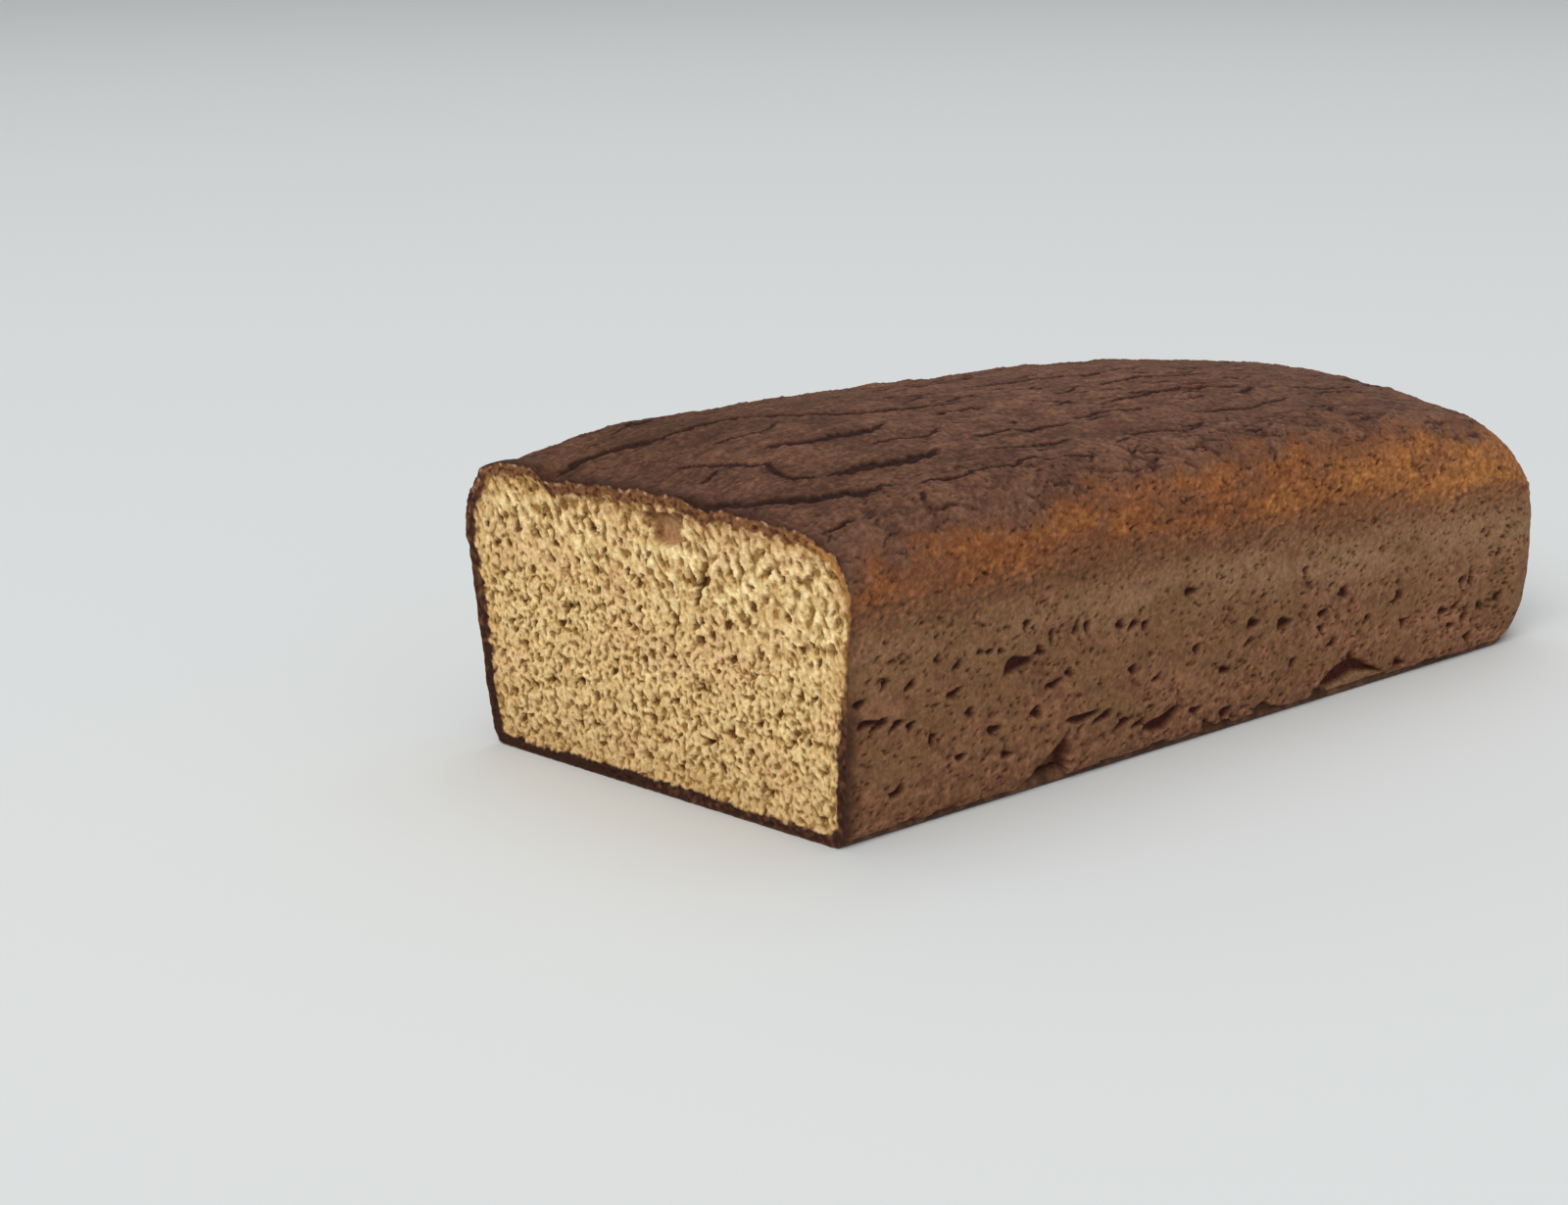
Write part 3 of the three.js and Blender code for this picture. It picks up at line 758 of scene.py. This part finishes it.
def crust_colour(p, nz, up, pitd, n_mid, n_small, n_fine, n_blotch, is_top):
    """Baked colour of the skin at points p: dark dome, orange shoulder, pale band under the rim, reddish brown below."""
    y = p[..., 1]
    lower = blend(np.broadcast_to(C_MAUVE, p.shape), C_MAUVE_LIGHT, 0.44 + 0.75 * n_small + 0.35 * n_blotch + 0.5 * n_fine)
    lower = blend(lower, C_OLIVE, np.clip(0.35 - 0.8 * n_blotch + 0.4 * n_mid - 0.45 * (1 - sm(4, 20, p[..., 2])), 0, 0.8))
    band = np.exp(-(((up + 8.5) / 6.5) ** 2)) * np.clip(0.8 + 0.9 * n_blotch + 0.7 * n_small + 0.4 * n_mid, 0, 1)
    band = band * (0.5 + 0.5 * sm(30, 110, y))
    col = blend(lower, C_KHAKI, band)
    flecks = sm(0.25, 0.6, n_fine) * np.exp(-(((up + 2.0) / 4.0) ** 2))
    col = blend(col, C_MAUVE_LIGHT * 1.3, flecks * 0.8)
    shade = np.exp(-(((up - 1.2) / 3.4) ** 2)) * np.clip(0.75 + 0.9 * n_mid + 0.5 * n_small, 0, 1)
    orange = blend(np.broadcast_to(C_ORANGE, p.shape), C_GOLD, 0.06 + 0.48 * sm(110, 225, y) + 0.30 * n_blotch + 0.25 * n_small + 0.3 * n_fine)
    orange = blend(orange, C_TOP_LIGHT, np.clip(-1.1 * n_blotch + 0.4 * n_mid + 0.3 * n_small, 0, 0.42) * (1 - 0.5 * sm(150, 235, y)))
    col = blend(col, orange, sm(-1.0, 7.0, up + 2.0 * n_small + 1.4 * n_mid + 0.8 * n_fine))
    col = blend(col, C_TOP * 1.15, shade * (0.72 - 0.25 * sm(120, 235, y)))
    brown = blend(np.broadcast_to(C_TOP, p.shape), C_TOP_LIGHT, 0.33 + 0.5 * n_mid + 0.40 * n_blotch + 0.6 * n_fine + 0.3 * n_small)
    col = blend(col, brown, is_top)
    return blend(col, C_PIT, pitd)


col_ring = crust_colour(ring, normal[..., 2], above, np.clip(dark * 0.92, 0, 0.95), mid_n, small, fine, blotch, brown_w * sm(-1, 4, above))
col_ring = blend(col_ring, C_TOP_DEEP, np.clip(groove_dark * 1.15 + 0.32 * valley + 0.74 * crinkle + 0.45 * plates + 0.08 * wrinkle, 0, 0.93))
col_ring = blend(col_ring, C_TOP_DEEP * 1.2, 0.7 * np.exp(-((from_cut / 4.2) ** 2)) * topside * (1 - sm(22, 44, X)) * np.clip(0.8 + 0.6 * mid_n, 0, 1))
col_ring = blend(col_ring, C_TOP_DEEP * 1.5, veins * (0.6 + 0.1 * brown_w))
col_ring = col_ring * (1 + 0.34 * specks * side_w)[..., None]
col_ring = blend(col_ring, C_TOP * 0.8, flecks_d * 0.42)
col_ring = col_ring * (1 + 0.26 * top_w * streak + (0.24 - 0.08 * sm(110, 200, Y)) * high * (0.6 + 0.4 * top_w) * fine + 0.20 * high * small)[..., None]
col_ring = col_ring * (1 + 0.09 * sm(120, 225, Y) * (1 - brown_w))[..., None]
col_ring = col_ring * (1 - (near_w**1.3 * top_w * (1.4 - 0.8 * sm(-30, 10, X)))[..., None] * np.array([0.16, 0.18, 0.25]))
col_ring = col_ring * (1 + 0.20 * top_w * (plate_l - 0.5) + 0.30 * sho * (plate_s - 0.4))[..., None]
col_ring = blend(col_ring, rgb(0.180, 0.096, 0.056), 0.32 * sho * brown_w * np.clip(plate_s * 1.5 - 0.35, 0, 1) * (1 - crinkle))
col_ring = blend(col_ring, rgb(0.135, 0.048, 0.026), scoop_dark * 0.9)
# painted shade in the hollows under their overhanging edges
col_ring = blend(col_ring, C_PIT * 1.5, lip * 0.85)
col_ring = blend(col_ring, C_KHAKI * 1.05, flap_w * 0.75)
col_ring = blend(col_ring, C_GOLD * 1.1, grain * 0.35)
# painted shade along the foot of the walls, where the loaf meets the floor
foot_shade = (1 - sm(0.1, 1.4, Z + 1.3 * small + 1.5 * mid_n + 0.5)) * (part != 0)[None, :]
col_ring = blend(col_ring, rgb(0.030, 0.015, 0.010), foot_shade * 0.8 * (1 - 0.85 * flap_w))
# painted shade on the +X wall beside the cut, low down
col_ring = blend(col_ring, C_RIND_DARK * 1.6, 0.95 * np.exp(-(((from_cut + 0.8 * small) / 3.0) ** 2)) * (part == 1)[None, :] * (1 - sm(24, 42, Z)))
base_col = blend(np.broadcast_to(C_MAUVE * 0.92, ring.shape), C_MAUVE_LIGHT, 0.4 + 0.6 * blotch + 0.3 * small)
base_col = blend(base_col, C_PIT, dark * 0.85)
from_side = np.minimum(np.arange(M), NX - 1 - np.arange(M)).clip(0) * 0.37
# painted shade along the edges of the base, where it meets the floor
base_col = blend(base_col, rgb(0.030, 0.015, 0.010), 0.7 * (1 - sm(0.3, 2.5, from_side[None, :] + 1.2 * small)))
col_ring = np.where((part == 0)[None, :, None], base_col, col_ring)
col_ring = blend(col_ring, C_RIND_DARK, rag * 0.45)

n_e = [noise(end_base, s_, k__) for s_, k__ in ((7.0, 2), (2.4, 3), (1.1, 4), ((14.0, 22.0, 9.0), 6))]
above_e = end_base[:, 2] - (43.5 + 1.1 * noise(end_base, (9, 9, 60), 7))
col_end = crust_colour(end_base, np.zeros(len(end_base)), above_e, end_shade * 0.9, *n_e, np.zeros(len(end_base)))

g = np.clip(0.5 + 0.55 * soft_n + 0.35 * soft_m, 0, 1)
crumb = blend(np.broadcast_to(C_CRUMB, (len(cx), 3)), C_CRUMB_LIGHT, g * 0.75)
# painted highlight on the raised ridges of the crumb
crumb = blend(crumb, rgb(1.0, 0.80, 0.43), 0.85 * sm(0.05, 0.40, maze_a + 0.2 * soft_m) * (0.45 + 0.55 * upper))
crumb = blend(crumb, C_CRUMB_WARM, 0.25 * sm(0.1, 0.6, noise(c3, 9.0, 91)) + 0.55 * glow * (0.6 + 0.5 * soft_m))
# painted shade: the crumb darker towards the bottom of the cut
crumb = blend(crumb, rgb(0.50, 0.32, 0.15), (1 - sm(3, 26, cz)) * 0.30)
crumb = blend(crumb, rgb(0.74, 0.455, 0.235), 0.40 * sm(-0.1, 0.5, noise(c3, 15.0, 96)))
under = np.exp(-(((inward - thick - 1.2) / 1.6) ** 2)) * sm(48, 60, cz)
crumb = blend(crumb, rgb(0.33, 0.15, 0.055), under * np.clip(0.25 + 1.2 * noise(c3, 1.9, 95), 0, 0.8))
# painted shade in the crumb's bubbles and hollows
crumb = blend(crumb, C_PORE, np.clip(crumb_painted_shade * 1.25, 0, 1))
crumb = blend(crumb, C_PORE_DEEP, sm(0.55, 1.0, crumb_painted_shade))
crumb = blend(crumb, rgb(0.40, 0.20, 0.10), cave * 0.8)
# painted shade on the cave's left and upper inner walls
crumb = blend(crumb, C_PORE_DEEP * 1.6, cave * np.maximum(1 - sm(2.2, 4.0, cx), sm(66.0, 68.0, cz)) * 0.75)
# the crust band in section: mottled, and darker towards the bottom of the cut with painted shade
rind_c = blend(np.broadcast_to(C_RIND, (len(cx), 3)), C_RIND_DARK,
               0.20 + 1.0 * noise(c3, 1.8, 92) + 0.55 * rind_pores + 0.7 * (1 - sm(16, 40, cz)) + 0.5 * (cx < 0) * (1 - sm(60, 68, cz)))
gold_w = sm(28, 46, cz) * sm(50, 56, cx) + sm(56, 66, cz) * sm(38, 52, cx) + 0.35 * sm(66, 70, cz)
rind_c = blend(rind_c, C_RIND_GOLD, np.clip(gold_w * (0.6 + 0.5 * soft_n), 0, 0.8) * sm(0.3, 1.0, inward))
torn = sm(0.0, 0.55, noise(c3, 1.6, 93)) * (1 - sm(0.5, 1.5, inward)) * sm(52, 62, cz)
spots = sm(0.0, 0.3, noise(c3, 1.5, 94)) * sm(0.7, 1.5, inward) * sm(40, 60, cz) * (cx < 48)
rind_c = blend(rind_c, rgb(0.075, 0.020, 0.012), spots * 0.85)
rind_c = blend(rind_c, rgb(0.56, 0.33, 0.21), torn * 0.85)
col_cut = blend(crumb, rind_c, rind)

# ---------------------------------------------------------------- one mesh
shift = np.array([
    (raw_low[0] + raw_high[0]) / 2, (raw_low[1] + raw_high[1]) / 2, 0.0])
cad_low, cad_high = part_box("loaf")
shift[0] = raw_high[0] - cad_high.x * 1000
shift[1] = raw_high[1] - cad_high.y * 1000
verts = np.concatenate([ring_d.reshape(-1, 3), cut_pts, end_pts])
colours = np.concatenate([col_ring.reshape(-1, 3), col_cut, col_end])
o_ring = 0
o_cl, o_cg = NS * M, NS * M + (LC - 1) * M
o_el = o_cg + NX * NZ
o_eg = o_el + (LE - 1) * M
quads, uvs = [], []


def add(a, b, c, d, ua, ub, uc, ud):
    quads.append(np.stack([a.ravel(), b.ravel(), c.ravel(), d.ravel()], 1))
    uvs.append(np.stack([u.reshape(-1, 2) for u in (ua, ub, uc, ud)], 1))


arc = np.cumsum(np.r_[0, step_s[:-1, J_RIGHT + NZ // 2]])
arc = arc / arc[-1]


def strip(j0, n, left, right, low, high, mirror=False):
    """A wall of the ring, n steps round from j0, unwrapped into a rectangle."""
    S, J = np.meshgrid(np.arange(NS - 1), np.arange(n), indexing="ij")

    def uv(s, j):
        t = j / n
        return np.stack([left + (right - left) * t, low + (high - low) * arc[s]], -1)

    def at(s, j):
        return o_ring + s * M + (j0 + j) % M

    add(at(S, J), at(S + 1, J), at(S + 1, J + 1), at(S, J + 1),
        uv(S, J), uv(S + 1, J), uv(S + 1, J + 1), uv(S, J + 1))


m_ = 0.006
lo_y, hi_y = 0.400, 1 - m_
strip(J_TOP, NX - 1, m_, 0.372, lo_y, hi_y)
strip(J_RIGHT, NZ - 1, 0.382, 0.606, lo_y, hi_y)
strip(J_LEFT, NZ - 1, 0.616, 0.838, lo_y, hi_y)
strip(J_BASE, NX - 1, 0.848, 1 - m_, lo_y, hi_y)


def face(rim_idx, rim_xz, loops, grid, o_l, o_g, layers, box, flip):
    """The faces of an end: rim to loops to grid. box = u0, u1, v0, v1."""
    allp = np.concatenate([rim_xz[None], loops], 0)
    lo, hi = rim_xz.min(0), rim_xz.max(0)
    u0, u1, v0, v1 = box

    def uv(xz):
        t = (xz - lo) / (hi - lo)
        if flip:
            t = np.stack([1 - t[..., 0], t[..., 1]], -1)
        return np.stack([u0 + (u1 - u0) * t[..., 0], v0 + (v1 - v0) * t[..., 1]], -1)

    idx = np.concatenate([rim_idx[None], o_l + np.arange((layers - 1) * M).reshape(layers - 1, M)])
    gi = o_g + np.arange(NX * NZ).reshape(NZ, NX)
    border = np.concatenate([gi[0, :-1], gi[:-1, -1], gi[-1, ::-1][:-1], gi[::-1, 0][:-1]])
    bxz = np.concatenate([grid[0, :-1], grid[:-1, -1], grid[-1, ::-1][:-1], grid[::-1, 0][:-1]])
    idx = np.concatenate([idx, border[None]])
    allp = np.concatenate([allp, bxz[None]])
    nxt = np.roll(np.arange(M), -1)
    a, b, c, d = idx[:-1], idx[:-1][:, nxt], idx[1:][:, nxt], idx[1:]
    ua, ub, uc, ud = uv(allp[:-1]), uv(allp[:-1][:, nxt]), uv(allp[1:][:, nxt]), uv(allp[1:])
    ga, gb, gc, gd = gi[:-1, :-1], gi[:-1, 1:], gi[1:, 1:], gi[1:, :-1]
    gu = uv(grid)
    gua, gub, guc, gud = gu[:-1, :-1], gu[:-1, 1:], gu[1:, 1:], gu[1:, :-1]
    if flip:
        add(a, d, c, b, ua, ud, uc, ub)
        add(ga, gd, gc, gb, gua, gud, guc, gub)
    else:
        add(a, b, c, d, ua, ub, uc, ud)
        add(ga, gb, gc, gd, gua, gub, guc, gud)


face(np.arange(M), rim_cut, loops_c, grid_c, o_cl, o_cg, LC, (m_, 0.625, m_, 0.390), False)
face((NS - 1) * M + np.arange(M), rim_end, loops_e, grid_e, o_el, o_eg, LE, (0.635, 1 - m_, m_, 0.190), True)
quads = np.concatenate(quads)
uvs = np.concatenate(uvs)

mesh = bpy.data.meshes.new("loaf_bread")
mesh.vertices.add(len(verts))
mesh.vertices.foreach_set("co", ((verts - shift) * 0.001).astype(np.float32).ravel())
mesh.loops.add(quads.size)
mesh.loops.foreach_set("vertex_index", quads.astype(np.int32).ravel())
mesh.polygons.add(len(quads))
mesh.polygons.foreach_set("loop_start", np.arange(0, quads.size, 4, dtype=np.int32))
mesh.polygons.foreach_set("use_smooth", np.ones(len(quads), bool))
mesh.update(calc_edges=True)
uv_layer = mesh.uv_layers.new(name="OFBake")
uv_layer.data.foreach_set("uv", uvs.astype(np.float32).ravel())
tint = mesh.attributes.new("tint", "FLOAT_COLOR", "POINT")
rgba = np.ones((len(verts), 4), np.float32)
rgba[:, :3] = np.clip(colours, 0.003, 1)
tint.data.foreach_set("color", rgba.ravel())
crumb_attr = mesh.attributes.new("crumb", "FLOAT", "POINT")
cw = np.zeros(len(verts), np.float32)
cw[o_cl:o_el] = 1 - rind
crumb_attr.data.foreach_set("value", cw)
mesh.validate()
loaf = bpy.data.objects.new("loaf_bread", mesh)
bpy.context.scene.collection.objects.link(loaf)

# ---------------------------------------------------------------- material
mat = bpy.data.materials.new("bread")
mat.use_nodes = True
nt = mat.node_tree
nt.nodes.clear()
out = nt.nodes.new("ShaderNodeOutputMaterial")
bsdf = nt.nodes.new("ShaderNodeBsdfPrincipled")
nt.links.new(bsdf.outputs["BSDF"], out.inputs["Surface"])


def node(kind, **values):
    n = nt.nodes.new(kind)
    for k, v in values.items():
        setattr(n, k, v)
    return n


coord = node("ShaderNodeTexCoord")
col = node("ShaderNodeAttribute", attribute_name="tint")
soft_att = node("ShaderNodeAttribute", attribute_name="crumb")


def tex_noise(scale, detail, rough):
    n = node("ShaderNodeTexNoise")
    n.inputs["Scale"].default_value = scale
    n.inputs["Detail"].default_value = detail
    n.inputs["Roughness"].default_value = rough
    nt.links.new(coord.outputs["Object"], n.inputs["Vector"])
    return n


n_a = tex_noise(900.0, 4.0, 0.65)
n_b = tex_noise(2600.0, 2.0, 0.5)
vary = node("ShaderNodeMapRange")
vary.inputs["From Min"].default_value = 0.3
vary.inputs["From Max"].default_value = 0.7
vary.inputs["To Min"].default_value = 0.66
vary.inputs["To Max"].default_value = 1.34
nt.links.new(n_a.outputs["Fac"], vary.inputs["Value"])
tinted = node("ShaderNodeVectorMath", operation="SCALE")
nt.links.new(col.outputs["Color"], tinted.inputs[0])
nt.links.new(vary.outputs["Result"], tinted.inputs["Scale"])
nt.links.new(tinted.outputs["Vector"], bsdf.inputs["Base Color"])

rough = node("ShaderNodeMapRange")
rough.inputs["To Min"].default_value = 0.74
rough.inputs["To Max"].default_value = 0.92
nt.links.new(soft_att.outputs["Fac"], rough.inputs["Value"])
nt.links.new(rough.outputs["Result"], bsdf.inputs["Roughness"])
bsdf.inputs["Specular IOR Level"].default_value = 0.11
bsdf.inputs["Subsurface Weight"].default_value = 0.06
bsdf.inputs["Subsurface Radius"].default_value = (1.0, 0.55, 0.25)
bsdf.inputs["Subsurface Scale"].default_value = 0.0015

bump_a = node("ShaderNodeBump")
bump_a.inputs["Strength"].default_value = 0.35
bump_a.inputs["Distance"].default_value = 0.0006
nt.links.new(n_a.outputs["Fac"], bump_a.inputs["Height"])
bump_b = node("ShaderNodeBump")
bump_b.inputs["Strength"].default_value = 0.25
bump_b.inputs["Distance"].default_value = 0.0002
nt.links.new(n_b.outputs["Fac"], bump_b.inputs["Height"])
nt.links.new(bump_a.outputs["Normal"], bump_b.inputs["Normal"])
nt.links.new(bump_b.outputs["Normal"], bsdf.inputs["Normal"])
mesh.materials.append(mat)

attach(loaf, "root")
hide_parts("loaf")

# ---------------------------------------------------------------- stage
floor_mesh = bpy.data.meshes.new("floor")
s_ = 14.0
floor_mesh.from_pydata([(-s_, -s_, 0), (s_, -s_, 0), (s_, s_, 0), (-s_, s_, 0)], [], [(0, 1, 2, 3)])
floor = bpy.data.objects.new("floor", floor_mesh)
bpy.context.scene.collection.objects.link(floor)
fm = bpy.data.materials.new("floor")
fm.use_nodes = True
fb = fm.node_tree.nodes["Principled BSDF"]
fb.inputs["Base Color"].default_value = (0.69, 0.71, 0.71, 1)
fb.inputs["Roughness"].default_value = 0.75
fb.inputs["Specular IOR Level"].default_value = 0.2
floor_mesh.materials.append(fm)

world = bpy.data.worlds.new("studio")
bpy.context.scene.world = world
world.use_nodes = True
bg = world.node_tree.nodes["Background"]
bg.inputs["Color"].default_value = (0.97, 0.985, 1.0, 1)
bg.inputs["Strength"].default_value = 0.52


def area(name, where, target, size, power, colour=(1, 1, 1)):
    d = bpy.data.lights.new(name, "AREA")
    d.shape = "SQUARE"
    d.size = size
    d.energy = power
    d.color = colour
    o = bpy.data.objects.new(name, d)
    bpy.context.scene.collection.objects.link(o)
    o.location = where
    o.rotation_euler = (Vector(target) - Vector(where)).to_track_quat("-Z", "Y").to_euler()
    return o


area("key", (1.55, -2.75, 3.3), (0, 0, 0.03), 2.8, 112.0, (1.0, 0.98, 0.95))
area("top", (-0.6, 1.2, 3.9), (0, 0, 0.05), 3.0, 36.0, (0.98, 0.99, 1.0))

# ---------------------------------------------------------------- camera
cam_raw = np.array([435.52, -300.38, 204.59])
right = np.array([0.6038591457, 0.7970071454, -0.0115647050])
down = np.array([0.2257226028, -0.1848993623, -0.9564839425])
ahead = np.array([-0.7644628432, 0.5749711611, -0.2915556985])
camera = bpy.data.cameras.new("camera")
camera.sensor_width = 36.0
camera.lens = 36.0 * 2421.96 / 1600
camera.clip_start = 0.01
cam = bpy.data.objects.new("camera", camera)
bpy.context.scene.collection.objects.link(cam)
rot = Matrix((right, -down, -ahead)).transposed().to_4x4()
cam.matrix_world = Matrix.Translation(Vector((cam_raw - shift) * 0.001)) @ rot
bpy.context.scene.camera = cam
bpy.context.scene.view_settings.view_transform = "Standard"
bpy.context.scene.view_settings.look = "None"
bpy.context.scene.view_settings.exposure = 0.0
